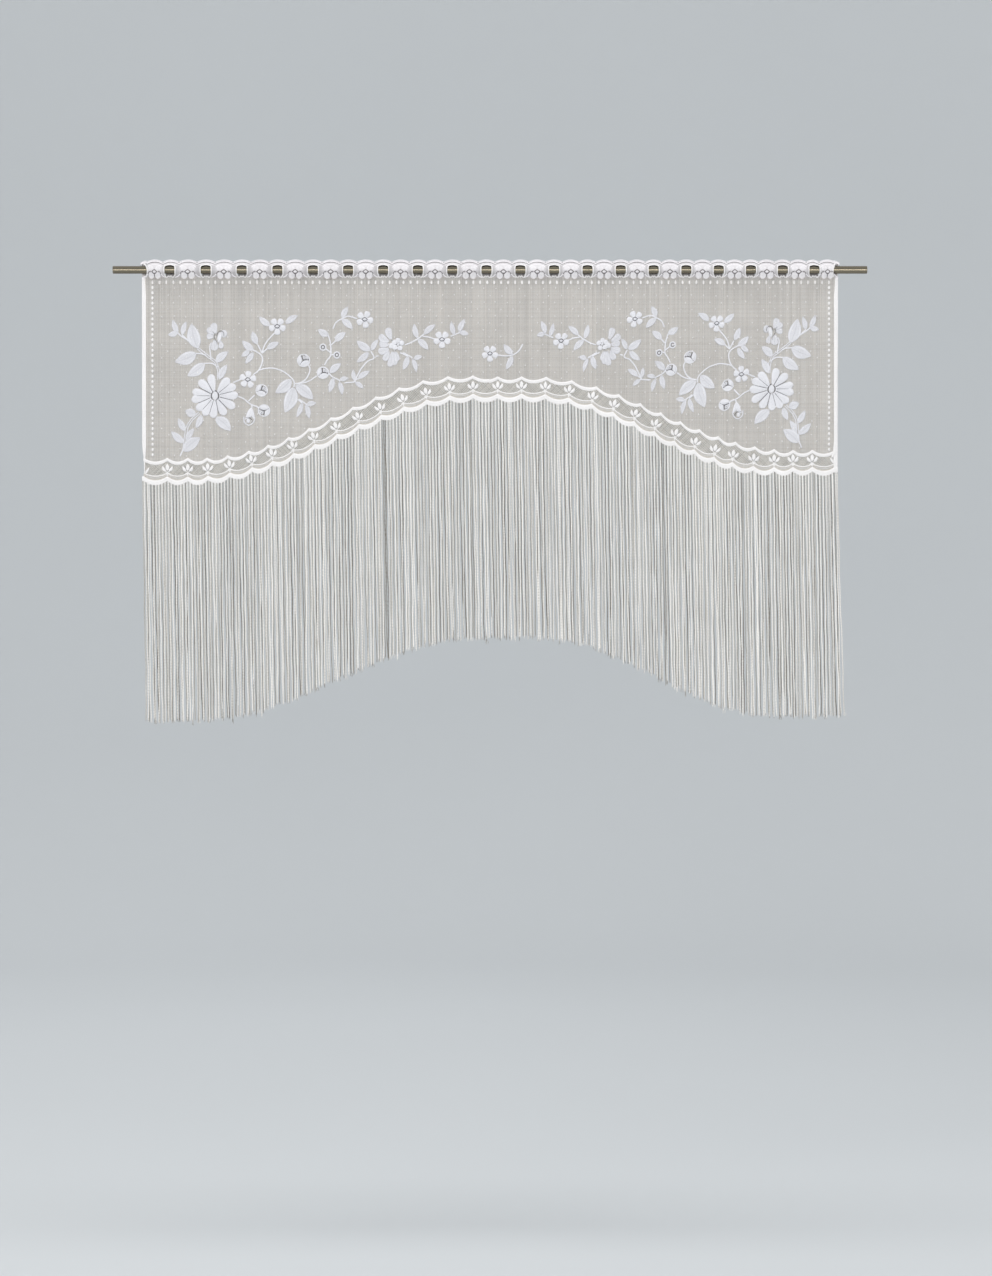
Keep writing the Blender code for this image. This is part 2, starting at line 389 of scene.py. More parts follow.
def makeToneGroup():
    # from open and thin to dense and white by the tone of each stitch, a little uneven over the cloth, and
    # lighter on the knit loops and darker between them as painted light and shade
    group, given, result = newGroup(
        "yarnTone",
        {"Thin": (0.3, 0.3, 0.3, 1), "Dense": (0.9, 0.9, 0.9, 1), "Loops": 0.5, "Loop Contrast": 0.2},
        ("Color", "Density"))
    place = objectPlace(group)
    tone = addNode(group, "ShaderNodeAttribute", attribute_name="tone").outputs["Fac"]
    slow, fine = (addNoise(group, place, *yarn[noise]) for noise in ("slowNoise", "fineNoise"))
    spread = calculate(group, "ADD", slow, fine)
    uneven = calculate(group, "MULTIPLY_ADD", spread, yarn["toneNoise"], -yarn["toneNoise"])
    loops = calculate(group, "ADD", given.outputs["Loops"], -0.5)
    shaded = calculate(group, "MULTIPLY_ADD", loops, given.outputs["Loop Contrast"], uneven)
    density = calculate(group, "ADD", tone, shaded, use_clamp=True)
    colour = mixColours(group, density, given.outputs["Thin"], given.outputs["Dense"])
    setSockets(group, result, {"Color": colour, "Density": density})
    return group


knitLoops = makeKnitGroup()
yarnTone = makeToneGroup()


def makeYarn(name, thin, dense, pitch, contrast, depth=0.0002):
    # thin and dense are the colours of open and of close stitches
    material, tree, shader = newMaterial(name)
    knit = addNode(tree, "ShaderNodeGroup", {"Pitch": pitch}, node_tree=knitLoops)
    colour = addNode(tree, "ShaderNodeGroup", {
        "Thin": paint(*thin), "Dense": paint(*dense), "Loop Contrast": contrast,
        "Loops": knit.outputs["Shade"]}, node_tree=yarnTone)
    rough = calculate(tree, "MULTIPLY_ADD", colour.outputs["Density"], yarn["denseRougher"], yarn["rough"])
    setSockets(tree, shader, {
        "Specular IOR Level": yarn["specular"], "Sheen Weight": yarn["sheen"],
        "Sheen Roughness": yarn["sheenRough"], "Base Color": colour.outputs["Color"], "Roughness": rough,
        "Normal": addBump(tree, knit.outputs["Height"], yarn["bump"], depth)})
    return material


netYarn = makeYarn("netYarn", (161, 155, 149), (233, 228, 222), 0.9, 0.35, 0.0001)
whiteYarn = makeYarn("whiteYarn", (150, 149, 149), (234, 232, 232), 1.3, 0.25)
sprayYarn = makeYarn("sprayYarn", (104, 104, 108), (223, 223, 228), 1.25, 0.36)
# the trellis yarn is darker and warmer than the net's, painted shade for the shadow in the deeper trellis
trellisYarn = makeYarn("trellisYarn", (144, 138, 129), (222, 216, 207), 0.9, 0.3, 0.0001)
headingYarn = makeYarn("headingYarn", (118, 114, 115), (238, 235, 238), 1.3, 0.25)
stringYarn = makeYarn("stringYarn", (112, 107, 99), (242, 239, 235), 1.5, 0.25)


def addObject(name, data, place=(0, 0, 0), turn=(0, 0, 0)):
    thing = bpy.data.objects.new(name, data)
    thing.location = place
    thing.rotation_euler = turn
    bpy.context.scene.collection.objects.link(thing)
    return thing


def makePiece(name, lace, material, solid, hangs=True):
    points = np.vstack(lace["points"])
    if hangs:
        points[:, 1] += drape(points[:, 0], points[:, 2]) - roundRod(points[:, 2])
    mesh = bpy.data.meshes.new(name)
    mesh.from_pydata((points * 0.001).tolist(), [], lace["faces"])
    tones = mesh.attributes.new("tone", "FLOAT", "POINT")
    tones.data.foreach_set("value", np.concatenate(lace["tones"]).astype(np.float32))
    bm = bmesh.new()
    bm.from_mesh(mesh)
    bmesh.ops.recalc_face_normals(bm, faces=bm.faces[:])
    triangles = sum(len(face.verts) - 2 for face in bm.faces)
    bm.to_mesh(mesh)
    bm.free()
    mesh.shade_smooth()
    mesh.set_sharp_from_angle(angle=curtain["sharpFrom"])
    mesh.materials.append(material)
    piece = addObject(name, mesh)
    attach(piece, "root")
    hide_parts(solid)
    print(f"{name}: {triangles} triangles")
    return piece


def makePieces(solid, *rows):
    pieces = []
    for name, draw, material in rows:
        lace = newLace()
        draw(lace)
        pieces.append(makePiece(name, lace, material, solid))
    return pieces


rodMetal = {
    "dark": paint(110, 104, 91), "light": paint(144, 136, 119), "rough": 0.16, "linesRougher": 0.12,
    "scratch": 0.00003, "bump": 0.5, "fine": 900.0, "fineStretch": 0.02,
    "rubbed": 120.0, "rubbedStretch": 0.12,
}


def makeBrushedGroup():
    # fine lines that run along the rod, and a few longer rubbed streaks
    group, given, result = newGroup("brushedLines", {"Fineness": rodMetal["fine"]}, ("Lines", "Rubbed"))
    place = objectPlace(group)
    lines, streaks = (
        addNode(group, "ShaderNodeMapping", {"Vector": place, "Scale": (along, 1.0, 1.0)}).outputs[0]
        for along in (rodMetal["fineStretch"], rodMetal["rubbedStretch"]))
    setSockets(group, result, {"Lines": addNoise(group, lines, given.outputs["Fineness"], 4.0),
                               "Rubbed": addNoise(group, streaks, rodMetal["rubbed"], 5.0)})
    return group


def makeRodMetal():
    material, tree, shader = newMaterial("rodMetal")
    brushed = addNode(tree, "ShaderNodeGroup", node_tree=makeBrushedGroup())
    lines = brushed.outputs["Lines"]
    setSockets(tree, shader, {
        "Metallic": 1.0,
        "Base Color": mixColours(tree, brushed.outputs["Rubbed"], rodMetal["dark"], rodMetal["light"]),
        "Roughness": calculate(tree, "MULTIPLY_ADD", lines, rodMetal["linesRougher"], rodMetal["rough"]),
        "Normal": addBump(tree, lines, rodMetal["bump"], rodMetal["scratch"])})
    return material


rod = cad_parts["rod"]
rod.data.materials.clear()
rod.data.materials.append(makeRodMetal())
print("rod: brushed metal")


# the net ground: pillars of stitches with threads laid across them
# the net threads take tones well below the motifs', partly painted shade for the self-shadow among thin
# threads and partly their own random variation
net = {
    "wale": 1.42, "waleWidth": 0.76, "waleDepth": 0.55, "course": 1.62, "courseThread": (0.8, 0.34),
    "courseSteps": 14, "top": -8.6, "waleOff": 0.12, "waleTone": (0.42, 0.72), "waleUneven": (0.88, 1.12),
    "courseOff": 0.1, "courseTone": (0.3, 0.55),
}


def drawNet(lace):
    inner = curtain["edge"] - curtain["hemWidth"] + 1
    bandMiddle = upperBand["width"] / 2
    for x in np.linspace(-inner, inner, int(2 * inner / net["wale"])):
        place = x + chance.uniform(-net["waleOff"], net["waleOff"])
        z = np.linspace(net["top"], bandTop(place) - bandMiddle, 7)
        tone = chance.uniform(*net["waleTone"])
        width = net["waleWidth"] * chance.uniform(*net["waleUneven"])
        addThread(lace, pairs(place, z), width, net["waleDepth"], tone, 3, 0.05)
    fine = np.linspace(-inner, inner, 900)
    for z in np.arange(net["top"] - 0.6, curtain["netLowest"], -net["course"]):
        for run in runs(fine, bandTop(fine) - bandMiddle < z):
            steps = max(2, int((run[-1] - run[0]) / net["courseSteps"]))
            level = z + chance.uniform(-net["courseOff"], net["courseOff"])
            line = pairs(np.linspace(run[0], run[-1], steps + 1), level)
            addThread(lace, line, *net["courseThread"], chance.uniform(*net["courseTone"]), 3, -0.1)


# the row of dots under the heading, the column at each side, and pin dots all over the net
dots = {
    "row": -16.2, "rowPitch": 9.0175, "rowDot": (1.5, 2.5), "columns": (-436.4, 438.3), "columnPitch": 6.75,
    "columnDot": (1.65, 2.1), "pinEdge": 424, "pinTop": -24, "pinPitch": 15.4, "pinRow": 9.0,
    "pinHalf": (0.85, 1.15), "pinOffPlace": 0.9, "pinShare": 0.85,
}


def drawDots(lace):
    left, right = dots["columns"]
    for x in np.arange(left, right + 1, dots["rowPitch"]):
        addOval(lace, (x, dots["row"]), *dots["rowDot"], lift=0.45)
    for x in dots["columns"]:
        z = dots["row"] - dots["columnPitch"]
        while z > bandTop(x) + 2.5:
            addOval(lace, (x, z), *dots["columnDot"], lift=0.6)
            z -= dots["columnPitch"]
    for number, z in enumerate(np.arange(dots["pinTop"], curtain["netLowest"], -dots["pinRow"])):
        offset = (number % 2) * dots["pinPitch"] / 2
        for x in np.arange(-dots["pinEdge"] + offset, dots["pinEdge"], dots["pinPitch"]):
            if z > bandTop(x) + 3 and chance.random() < dots["pinShare"]:
                place = np.array((x, z)) + chance.uniform(-1, 1, 2) * dots["pinOffPlace"]
                addOval(lace, place, *dots["pinHalf"], smooth[::2], rows=4, lift=0.4)


# flower sprays: laid out for the left half, the right half is nearly its mirror image
sprays = {
    "bigLeaves": (
        (-378, -101, -8, 31, 8.3), (-380, -108, -27, -11, 7.8), (-369, -121, -22, -16, 6.7),
        (-354, -191, 19, -17, 6.9), (-396, -234, 21, 17, 7.2), (-257, -142, -20, -17, 6.7),
        (-254, -152, -11, -32, 8.3), (-251, -149, 22, -18, 7), (-381, -186, -13, 4, 5.3)),
    "leaves": (
        (-354, -119, 15, 13, 4.9), (-350, -141, 10, 18, 4.4), (-404, -81, -6, 16, 3.4),
        (-398, -84, 5, 17, 3.2), (-404, -81, -12, -3, 3.5), (-373, -188, -7, -16, 3.9),
        (-394, -208, -9, 16, 3.9), (-393, -221, 10, 16, 3.6), (-396, -223, -16, 14, 4.5),
        (-306, -104, -14, 12, 4.4), (-311, -104, -10, -8, 3.2), (-306, -107, -10, -14, 3.4),
        (-301, -96, -6, 16, 4.1), (-288, -102, 15, 8, 3.9), (-285, -72, -13, 11, 3.9),
        (-264, -69, 15, 10, 3.9), (-243, -172, -7, -18, 3.1), (-238, -174, 4, -18, 3.1),
        (-237, -174, 12, 2, 3), (-209, -85, -13, 8, 4.3), (-200, -92, 13, 11, 4.3),
        (-207, -133, 14, 12, 4.3), (-203, -140, -5, -18, 3.6), (-195, -145, 4, -16, 3.1),
        (-194, -142, 11, 2, 2.8), (-175, -143, -2, 14, 2.6), (-170, -140, 14, 9, 3.4),
        (-174, -145, 10, -8, 2.8), (-155, -104, -17, 12, 4.8), (-157, -107, -15, -12, 3.9),
        (-153, -104, 8, 14, 3.2), (-191, -62, 7, 14, 3.6), (-191, -64, 13, -12, 4.1),
        (-94, -88, -4, 18, 3.4), (-85, -83, 14, 12, 3.6), (-93, -90, 13, -13, 4.1), (-46, -84, -4, 17, 3.1),
        (-40, -80, 7, 16, 3.4), (-39, -81, 11, -2, 3.1), (-106, -112, -6, -17, 3.6),
        (-100, -115, 5, -17, 2.8), (-98, -115, 10, 3, 3.1)),
    # a first place, then the move to each next one
    "doubleStems": (
        (-351, -142, 0, 12, -2, 6, -2, 5, -8, 6, -8, 6, -7, 6),
        (-376, -185, -9, -8, -6, -9, -2, -7, -2, -14, -1, -9)),
    "stems": (
        (-352, -126, -7, 5, -10, 0), (-367, -110.5, -6, 1.9, -7, 0.6), (-396, -230, -5, -11),
        (-390, -92, -8, 8), (-391, -91, -9, 6, -4, 4), (-360.5, -115, -1.3, 9, -0.5, 7, 2.3, 5),
        (-325, -164, 7, -3, 6, -5, 5, -3, 6, -2, 3, -3), (-312, -170, 8, 8), (-307, -175, -1, -4),
        (-332, -146, 10, 4), (-306, -136, 7, 6, 4, 8, 1, 7, -3, 6, -9, 5, -5, 0), (-300, -97, 5, -10),
        (-295, -108, 5, 13, 11, 13), (-295, -108, 7, 6),
        (-299, -130, 7, 2, 10, 1, 12, -3, 8, -5, 8, -8, 1, -8), (-249, -167, 6, -5), (-247, -167, 10, -7),
        (-252, -147, 6, 1, 7, 4, 5, 8, 1, 7, -3, 6), (-252, -147, 10, 1, 9, 3, 9, 6),
        (-214, -123, 4, 7, 4, 6, 0, 13, -2, 9, -1, 3), (-205, -97, 5, 5), (-212, -102, 6, -5),
        (-206, -110, 4, 1), (-209, -133, 5, -5, 8, -4, 2, -2),
        (-188, -146, 11, 1, 2, 2, 5, 9, 4, 7, 8, 9, 8, 4, -4, 9), (-175, -143, 5, 3), (-175, -143, 1, -2),
        (-148, -112, 4, 1), (-203, -76, 4, 8, 8, 5, 8, 3, 11, -3), (-110, -97, 8, 3, 9, 5, 8, 6),
        (-87, -86, 8, -1, 8, -3), (-51, -86, 5, 2, 7, 3), (-116, -107, 10, -5), (-112, -107, 12, -7)),
    # place and turn in degrees; a bud has its radius before the turn
    "smallFlowers": (
        (-313, -142, 84), (-275, -73, 126), (-162, -64, -80), (-62, -90, -90)),
    "buds": (
        (-295, -156, 7.6, -8), (-292, -182, 7.6, 178), (-241, -117, 8.2, 25), (-216, -133, 7.6, 12)),
    "berries": ((-216, -100), (-198, -110)),
    "daisy": {"centre": (-355.5, -163), "length": 29,
              "petals": (101, 136, 168, 190, 216, 240, 265, 299, 329, 362, 386, 411)},
    "mirror": {"at": 32.4, "narrower": 0.94, "rise": 8.4, "from": 63, "over": 293,
               "lean": 0.055, "leansAt": -115, "flatter": 0.027, "flatterAt": -150},
    "middle": {"flower": (0, -108, -90, 0.95), "stem": (9, -110, 10, -1, 10, 1, 8, 5, 5.5, 9),
               "leaves": ((29, -109, -11, 12.5, 4), (29, -111.5, -8.3, -17, 3.6))},
}


smallFlower = {
    "petals": 5, "from": 1.6, "to": 11.2, "half": 4.1, "eye": (2.4, 1.5),
    "diamond": diamond(3.6, 1.6, 1.7, 2.5),
}


def addSmallFlower(lace, x, z, turn, size=1.0):
    for number in range(smallFlower["petals"]):
        way = towards(turn + 360 // smallFlower["petals"] * number)
        base, tip = ((x, z) + way * smallFlower[end] * size for end in ("from", "to"))
        addBlade(lace, base, tip, smallFlower["half"] * size, "petal")
    addPaintedShadeLine(lace, smallFlower["diamond"] * size + (x, z), 1.0, True, 1.0)
    addOval(lace, (x, z), *(half * size for half in smallFlower["eye"]), lift=0.8)


def addDaisy(lace, centre, petals, length):
    for turn in petals:
        way = towards(turn)
        # longer to both sides than up and down, and no two quite alike
        reach = length * (1.01 + 0.02 * math.sin(turn) + 0.045 * math.cos(2 * math.radians(turn)))
        bend = 0.03 * math.sin(3 * turn)
        addBlade(lace, centre + way * 5.8, centre + way * reach, 5.3, "petal", bend=bend, rows=12)
        addPaintedShadeLine(lace, [centre + way * far for far in (7.5, 11, 14.5)], [0.8, 0.7, 0.25])
    for turn, after in zip(petals, petals[1:] + petals[:1]):
        gap = (after - turn) % 360
        way = towards(turn + gap / 2)
        if gap < 40:
            addPaintedShadeLine(lace, [centre + way * far for far in (7, 15, 23.5)], [0.8, 0.65, 0.35], lift=0.9)
    addPaintedShadeLine(lace, ellipse(centre, 4.9, 6.6, 24), 1.2, True)
    addOval(lace, centre, 3.9, 5.4, rows=8, lift=0.5)


# three folded petals in a cup, with painted shade lines for the slits between them
bud = {
    "petals": (
        ((-0.78, -0.45), (0.72, -0.5), 0.46, smooth, 9), ((-0.72, -0.3), (-0.25, 0.92), 0.34, smooth, 8),
        ((0.1, 0.15), (0.7, 0.6), 0.34, softly, 8), ((0.5, -0.25), (0.95, 0.35), 0.18, softly, 6)),
    "slits": (
        (0.8, (-0.8, -0.36), (-0.45, -0.14), (0, 0.02)), (1.0, (0, 0.02), (0.4, -0.08), (0.85, -0.26)),
        (1.0, (0, 0.02), (-0.06, 0.45), (0.06, 0.8)), (0.7, (0.24, 0.14), (0.5, 0.5), (0.4, 0.74))),
    "ring": 0.97,
}


def addBud(lace, x, z, radius, turn):
    at = turnedAt((x, z), math.radians(turn), radius)
    for base, tip, half, across, rows in bud["petals"]:
        addBlade(lace, at(*base), at(*tip), half * radius, "oval", across, rows=rows)
    for width, *places in bud["slits"]:
        addPaintedShadeLine(lace, curve([at(*place) for place in places]), width, lift=0.75)
    ring = ellipse((x, z), bud["ring"] * radius, bud["ring"] * radius, 22)
    addThread(lace, ring, 1.5, 0.8, lift=0.6, closed=True)


def addBerry(lace, x, z):
    addThread(lace, ellipse((x, z), 3.7, 3.9, 18), 2.0, 1.3, lift=0.4, closed=True)
    addPaintedShadeLine(lace, ellipse((x, z), 2.3, 2.5, 14), 0.7, True, lift=0.5)
    addOval(lace, (x, z), 1.4, 1.6, lift=0.4)


doubleBlossom = {
    "petals": (
        (-128, -90, -4, 15, 4.2), (-131, -93, -12, 8, 4.4), (-131, -97, -12, 2, 4),
        (-131, -102, -13, -4, 4.4), (-131, -105, -6, -12, 4), (-126, -106, -4, -19, 4),
        (-125, -106, 2, -17, 3.4), (-122, -106, 2, -12, 3.1)),
    "small": (-119.0, -96.5), "turns": (20, 90, 150, 225, 300), "eye": (-118.8, -96.4),
    "fold": (-127, -91, 3, -4, -2, -5, 4, -4),
}


def addDoubleBlossom(lace):
    addBlades(lace, doubleBlossom["petals"], "petal", bend=0.05)
    centre, eye = doubleBlossom["small"], doubleBlossom["eye"]
    for turn in doubleBlossom["turns"]:
        way = towards(turn)
        addBlade(lace, centre + way * 2, centre + way * 8.6, 3.5, "oval", rows=8, lift=0.45)
    addBlade(lace, (-130, -101), (-124, -95), 3.6, "oval", rows=8, lift=0.4)
    addPaintedShadeLine(lace, walk(doubleBlossom["fold"]))
    addPaintedShadeLine(lace, ellipse(eye, 2.7, 3.0, 16), 1.0, True)
    addOval(lace, eye, 1.7, 1.9, lift=0.7)


curlyBlossom = {
    "petals": (
        (-354.5, -82, -3, 13, 4.2), (-356.5, -83, -8.5, 7.5, 3.5), (-357.5, -86, -8.5, 0.5, 3.7),
        (-356, -91, -1, -13, 4.6), (-348.5, -92, 1, -9.5, 3), (-350, -92, 2, 11, 2.2)),
    "fold": (-358.6, -80, 3, -3, -1, -4, 3, -6, 0.6, -4),
    "curl": (-353.4, -86, 1.8, 5, 3.6, 2, 3.6, -2.2, 0.4, -4.2),
}


def addCurlyBlossom(lace):
    addBlades(lace, curlyBlossom["petals"], "petal", bend=0.05)
    addOval(lace, (-343.8, -82.6), 4.4, 5.0, softly, rows=7)
    addBlade(lace, (-351, -94), (-348.4, -80.8), 2.8, "oval", lift=0.45)
    addPaintedShadeLine(lace, walk(curlyBlossom["fold"]), 0.5, lift=0.8)
    addPaintedShadeLine(lace, walk(curlyBlossom["curl"]), 0.65, lift=0.9)


# a long open bud hangs from the stem beside the daisy
openBud = {
    "stem": (-308, -179, 0.2, -7, -1.2, -4),
    "cup": (-317.8, -190, 0.4, -7, 5.8, -4.2, 6, 3.8, 2, 6.4),
    "slit": (-315.6, -191.6, 4.2, 0.4, 4, -3, -0.4, -3.6),
}


def addOpenBud(lace):
    addBlade(lace, (-308, -178.5), (-316.2, -194), 3.9, bend=0.1)
    addBlade(lace, (-307.5, -179.5), (-303.6, -194), 2.7, bend=-0.1)
    addStem(lace, openBud["stem"], 1.0)
    addThread(lace, walk(openBud["cup"], 4), 1.7, 1.3, lift=0.4)
    addOval(lace, (-312.2, -195.6), 2.6, 2.8, lift=0.5)
    addPaintedShadeLine(lace, walk(openBud["slit"], 4), 0.8, lift=0.8)


def addBothHalves(lace, left):
    # the right half is the left one turned over, a little narrower and flatter
    mirror = sprays["mirror"]
    points, tones = np.vstack(left["points"]), np.concatenate(left["tones"])
    other = points.copy()
    other[:, 0] = mirror["at"] - mirror["narrower"] * points[:, 0]
    other[:, 0] += mirror["lean"] * (points[:, 2] - mirror["leansAt"])
    other[:, 2] += mirror["rise"] * np.clip((-points[:, 0] - mirror["from"]) / mirror["over"], 0, 1)
    other[:, 2] -= mirror["flatter"] * (points[:, 2] - mirror["flatterAt"])
    count, faces = left["count"], left["faces"]
    faces = faces + [[corner + count for corner in face] for face in faces]
    lace.update(points=[points, other], tones=[tones, tones], faces=faces, count=2 * count)


def drawSprays(lace):
    left = newLace()
    addBlades(left, sprays["bigLeaves"], bend=0.05, rows=12)
    addBlades(left, sprays["leaves"])
    for moves in sprays["stems"]:
        addStem(left, moves)
    for moves in sprays["doubleStems"]:
        line = walk(moves)
        along = np.gradient(line, axis=0)
        side = pairs(-along[:, 1], along[:, 0]) / np.linalg.norm(along, axis=1)[:, None]
        for way in (-1, 1):
            addThread(left, line + side * way * 1.25, 1.3, 0.8, lift=0.4)
    for add, places in ((addSmallFlower, "smallFlowers"), (addBud, "buds"), (addBerry, "berries")):
        for place in sprays[places]:
            add(left, *place)
    addDaisy(left, **sprays["daisy"])
    addDoubleBlossom(left)
    addCurlyBlossom(left)
    addOpenBud(left)
    addBothHalves(lace, left)
    middle = sprays["middle"]
    addSmallFlower(lace, *middle["flower"])
    addStem(lace, middle["stem"])
    addBlades(lace, middle["leaves"])


# the border: two scalloped bands, an open trellis, and a tulip on each cusp with a swag between
border = {
    "mesh": 2.25, "meshThread": (0.95, 0.45), "meshStep": 0.8, "low": -290, "high": -130, "middle": -210,
    "fineMesh": 1.5, "fineRows": (0.2, 0.45, 0.7, 0.95), "tulipFoot": 4.3, "tulipLean": 0.75,
    "swagSag": 4.0, "swagEnd": 446.5,
    # the pattern is cut off at both side edges
    "cutLeaves": ((-445.5, -263.5, 4.9, 8.5, 1.6), (446, -251.4, -7, 9.2, 1.6),
                  (446, -236.6, -4.6, -6.4, 1.6)),
}


def tulipLevel(x):
    return archAt(x) + lowerEdge["depth"] + lowerEdge["footHeight"] + border["tulipFoot"]


def swagAt(x):
    return tulipLevel(x) - 0.4 - border["swagSag"] * dip(x)


def drawTrellis(lace):
    inner = curtain["edge"] - 2.5
    z = np.arange(border["low"], border["high"], border["meshStep"])
    reach = inner - border["low"]
    for way in (-1, 1):
        for offset in np.arange(-reach, reach, border["mesh"] * math.sqrt(2)):
            x = offset + way * (z - border["middle"])
            safe = np.clip(x, -inner, inner)
            inside = (abs(x) < inner) & (z < bandBottom(safe) + 1.2) & (z > swagAt(safe) - 0.3)
            for run in runs(pairs(x, z), inside):
                line = run[np.unique(np.linspace(0, len(run) - 1, 2 + len(run) // 6).astype(int))]
                addThread(lace, line, *border["meshThread"], chance.uniform(0.3, 0.7), 3, 0.05 * way)
    # under the swags the mesh is finer
    for x in np.arange(-inner, inner, border["fineMesh"]):
        line = pairs(x, np.linspace(swagAt(x) + 0.5, footTop(x) - 1, 3))
        addThread(lace, line, 0.8, 0.5, chance.uniform(0.75, 1.0), 3)
    x = np.linspace(-inner, inner, 560)
    for share in border["fineRows"]:
        addThread(lace, pairs(x, swagAt(x) * (1 - share) + footTop(x) * share), 0.7, 0.4, 0.8, 3)


def bandColumns(left, above):
    x = np.concatenate([np.linspace(start, end, 17) for start, end in zip(cusps, cusps[1:])])
    x = np.unique((x - above * slopeAt(x - above * slopeAt(x))).round(6))
    return np.concatenate([[left], x[(x > left + 0.3) & (x < curtain["edge"] - 0.3)], [curtain["edge"]]])


def addBand(lace, top, bottom, relief, tones, left, above=0.0):
    x = bandColumns(left, above)
    share = np.linspace(0, 1, len(relief))[:, None]
    z = top(x) * (1 - share) + bottom(x) * share
    addPlate(lace, x, z, np.array(relief)[:, None], 0.4, np.array(tones)[:, None])


hems = {
    # level by level, how far from the middle the outer and the inner edge of the hem lie
    "left": ((-12, 450, 444.8), (-225, 450, 444.8), (-234, 449.4, 445), (-241, 448.4, 445.5),
             (-248, 447.6, 445.9), (-264, 447.4, 446.2)),
    "right": ((-12, 450, 444.8), (-222, 450, 444.8), (-231, 450, 443.8), (-240, 450, 444),
              (-248, 449.8, 444.4), (-262, 449.6, 444.6)),
    # across a hem: place, how far it stands out, and how white it is
    "places": np.array([0, 0.2, 0.5, 0.8, 1.0]), "relief": (0.2, 0.7, 0.6, 0.7, 0.2),
    "tones": (0.95, 1.0, 0.9, 1.0, 0.9),
    "bandStarts": -448.4, "bandTones": (0.9, 1.0, 0.86, 1.0, 0.85),
}


def drawHems(lace):
    addBand(lace, bandTop, bandBottom, hems["relief"], hems["bandTones"], hems["bandStarts"],
            upperBand["above"])
    for way, hem in ((-1, hems["left"]), (1, hems["right"])):
        levels, *edges = np.array(hem).T
        z = np.linspace(levels[0], levels[-1], 44)[:, None]
        outer, inner = (np.interp(-z, -levels, edge) for edge in edges)
        x = way * (outer * (1 - hems["places"]) + inner * hems["places"])
        addPlate(lace, x, z, hems["relief"], 0.4, hems["tones"])


def drawTulips(lace):
    for x in cusps[1:-1]:
        z = tulipLevel(x)
        at = turnedAt((x, z), border["tulipLean"] * math.atan(slopeAt(x)))
        addBlade(lace, at(0, 2.6), at(0, 11.8), 2.6, lift=0.45)
        for way in (-1, 1):
            addBlade(lace, at(way * 1.7, 1.7), at(way * 6.7, 8.7), 2.0, rows=8, bend=-0.1 * way, lift=0.4)
            addPaintedShadeLine(lace, curve([at(way * 1.0, 2.4), at(way * 2.3, 4.8), at(way * 3.7, 8.2)], 3), 0.7)
            addThread(lace, [at(-way * 2.2, 2.4), (x, z), (x + way * 3.0, z - 0.9)], 1.0, 0.7, lift=0.4)
        addBlade(lace, (x, z - 4.2), at(0, 0.6), 1.1, "oval", rows=6)
    x = np.linspace(-border["swagEnd"], border["swagEnd"], 700)
    addThread(lace, pairs(x, swagAt(x)), 1.4, 0.8, lift=0.3)
    # the greyer thread (tone 0.62) just under the swag is its painted shadow
    addThread(lace, pairs(x, swagAt(x) - 2.3), 0.8, 0.6, 0.62, lift=0.2)
    addBlades(lace, border["cutLeaves"], "leaf", smooth, 0.0, 7, 0.4)


netGround, *onNet = makePieces(
    "lace_panel", ("net_ground", drawNet, netYarn), ("lace_dots", drawDots, whiteYarn),
    ("flower_sprays", drawSprays, sprayYarn), ("border_trellis", drawTrellis, trellisYarn),
    ("hems_and_band", drawHems, whiteYarn), ("border_tulips", drawTulips, whiteYarn))


# the heading: bands before the rod and bars behind it, a bound eyelet at each bar
heading = {
    "eyelets": 20, "first": -413.8, "pitch": 46.8, "pitchLoss": 0.33,
    "halfHole": 7.2, "holeTop": 6.4, "holeBottom": -9.4, "holeSquareness": 4.5, "holeRoundness": 3.2,
    "bar": 5.5, "behindRod": (6.6, 5.6, 4.6, 3.2, 1.5, -1.5, -3.5, -5.5, -7.5),
    "scallop": 3.2, "crest": 13.2, "frillFoot": 7.2, "endsFrom": 444.4, "endsAt": 451.6,
    "starts": -443.2, "stops": 443.6, "endFlowers": (-433.4, 436.0), "endScallop": 21.0, "endSize": 0.86,
    "rows": (11.4, 9.8, 8.4, 7.2, 6.4, 6.25, 5.9, 5.2, 4.2, 2.8, 1.2, -0.6, -2.4, -4.2, -5.8, -7.2, -8.2,
             -8.9, -9.3, -9.4, -10.6, -12.2),
    "columns": 37,
    # the top of an eyelet, its foot with two small picots, and the bound edge at each end
    "rimTop": bothWays((-2.6, 6.6), (0, 6.7)),
    "rimFoot": bothWays((4.7, -9.9), (3.4, -9.9), (2.5, -9.0), (1.7, -8.0), (0.8, -8.6), (0, -9.3)),
    "rim": {"width": 1.4, "depth": 0.9, "sides": 6, "lift": 0.75},
    "endRims": ((-447.4, 8, 3.4, -4, 1.6, -5, -0.4, -5, -2, -4),
                (446.6, 9, -2.6, -5, -1.1, -5, 0.4, -5, 1.7, -4)),
    "diamond": diamond(3.6, 1.7, 1.8, 2.6),
}
order = np.arange(heading["eyelets"])
eyelets = heading["first"] + heading["pitch"] * order - heading["pitchLoss"] * order * (order - 1) / 2


def halfHole(z):
    top, bottom = heading["holeTop"], heading["holeBottom"]
    middle, half = (top + bottom) / 2, (top - bottom) / 2
    shape = np.maximum(1 - abs((z - middle) / half) ** heading["holeSquareness"], 0)
    return heading["halfHole"] * shape ** (1 / heading["holeRoundness"])


def frillTop(x, band):
    # scallops stand over each eyelet and the middle of each band, and the cut ends are nearly straight
    share = ((x - band["centre"]) / band["scallop"] + 0.5) % 1
    scallops = heading["crest"] - heading["scallop"] * np.abs(2 * share - 1) ** 2.2
    past = np.abs(x) - heading["endsFrom"]
    ends = heading["crest"] - 1.3 - 0.06 * np.maximum(past, 0) ** 2
    return np.where(past > -2, np.maximum(scallops * (past < 0), ends - 2 * np.maximum(-past, 0)), scallops)


